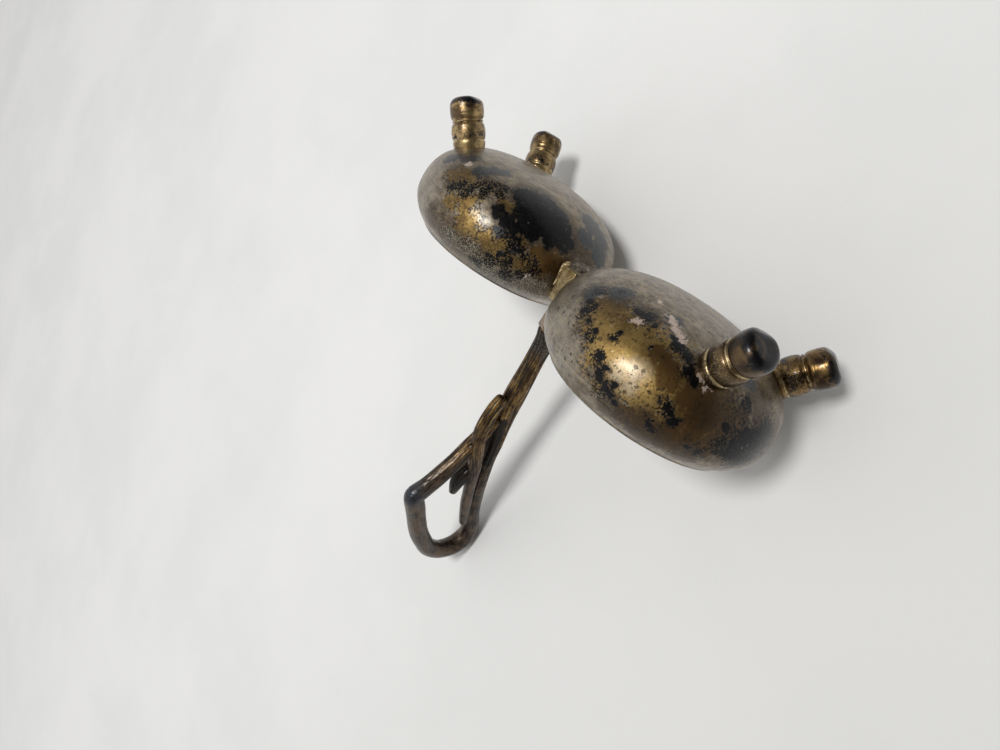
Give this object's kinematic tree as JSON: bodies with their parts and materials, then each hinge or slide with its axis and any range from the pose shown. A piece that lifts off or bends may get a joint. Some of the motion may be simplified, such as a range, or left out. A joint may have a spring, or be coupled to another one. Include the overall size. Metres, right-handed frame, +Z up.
{
  "type": "double condiment bowl",
  "caption": "Two squat round metal bowls joined side by side on short ringed peg feet, carried by an upright cast twig handle with a finger loop.",
  "frame": {"origin": "on the table, midway between the bowls, at the bottom centre of the part's bounding box", "axes": "+Z up towards the handle loop, +X along the line through both bowl centres, +Y towards the elbow side of the handle loop"},
  "size_m": [0.1066, 0.0516, 0.108],
  "materials": {
    "bowl_metal": "polished brass, heavily tarnished, with dark patches and grey traces of worn plating",
    "foot_metal": "turned brass, tarnished, black in the grooves and at the ends",
    "bridge_brass": "pale bare brass, satin",
    "handle_metal": "cast brass with grooved bark, dark tarnish, golden on the ridges"
  },
  "bodies": {
    "root": {"bowl_left": "bowl_metal", "bowl_right": "bowl_metal", "foot_front_left": "foot_metal", "foot_front_right": "foot_metal", "foot_back_left": "foot_metal", "foot_back_right": "foot_metal", "centre_bridge": "bridge_brass", "handle": "handle_metal"}
  },
  "joints": []
}
